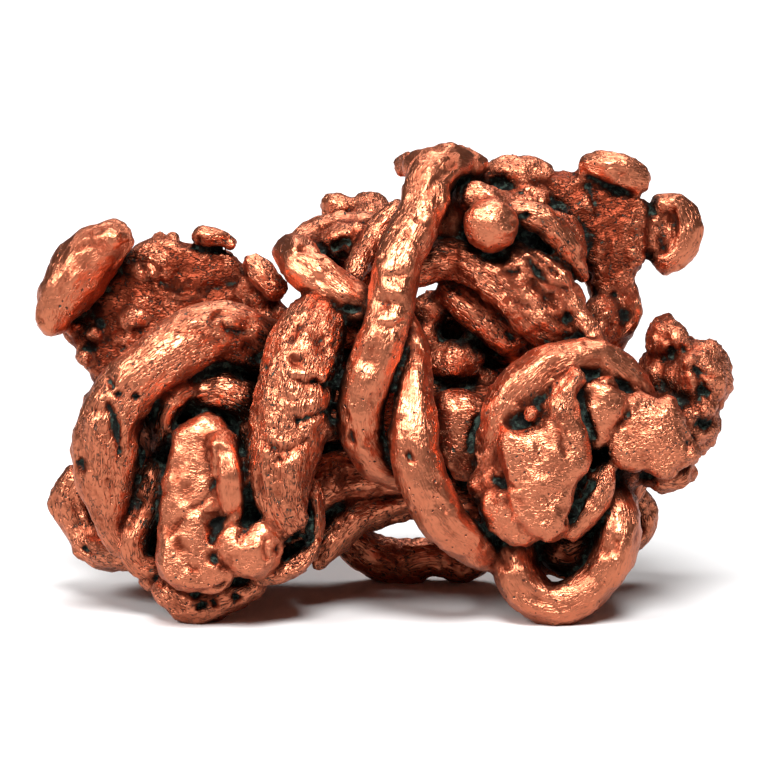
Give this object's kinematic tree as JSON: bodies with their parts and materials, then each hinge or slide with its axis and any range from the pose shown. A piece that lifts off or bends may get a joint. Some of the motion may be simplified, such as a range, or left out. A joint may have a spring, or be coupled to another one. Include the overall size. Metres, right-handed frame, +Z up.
{
  "type": "native copper nugget",
  "caption": "Knotted native copper nugget of rope-like strands, plates and lumps grown together, free standing on worn low points.",
  "frame": {"origin": "centre of the bounding box's underside, on the surface the nugget rests on", "axes": "+Z up, +X along the long side to the right of the face with the two long strands, -Y towards the viewer of that face"},
  "size_m": [0.0879, 0.0481, 0.0585],
  "materials": {
    "copper": "tumbled native copper, satin bright on the swellings, dark green-black in the creases"
  },
  "bodies": {
    "root": {"copper_nugget": "copper"}
  },
  "joints": []
}
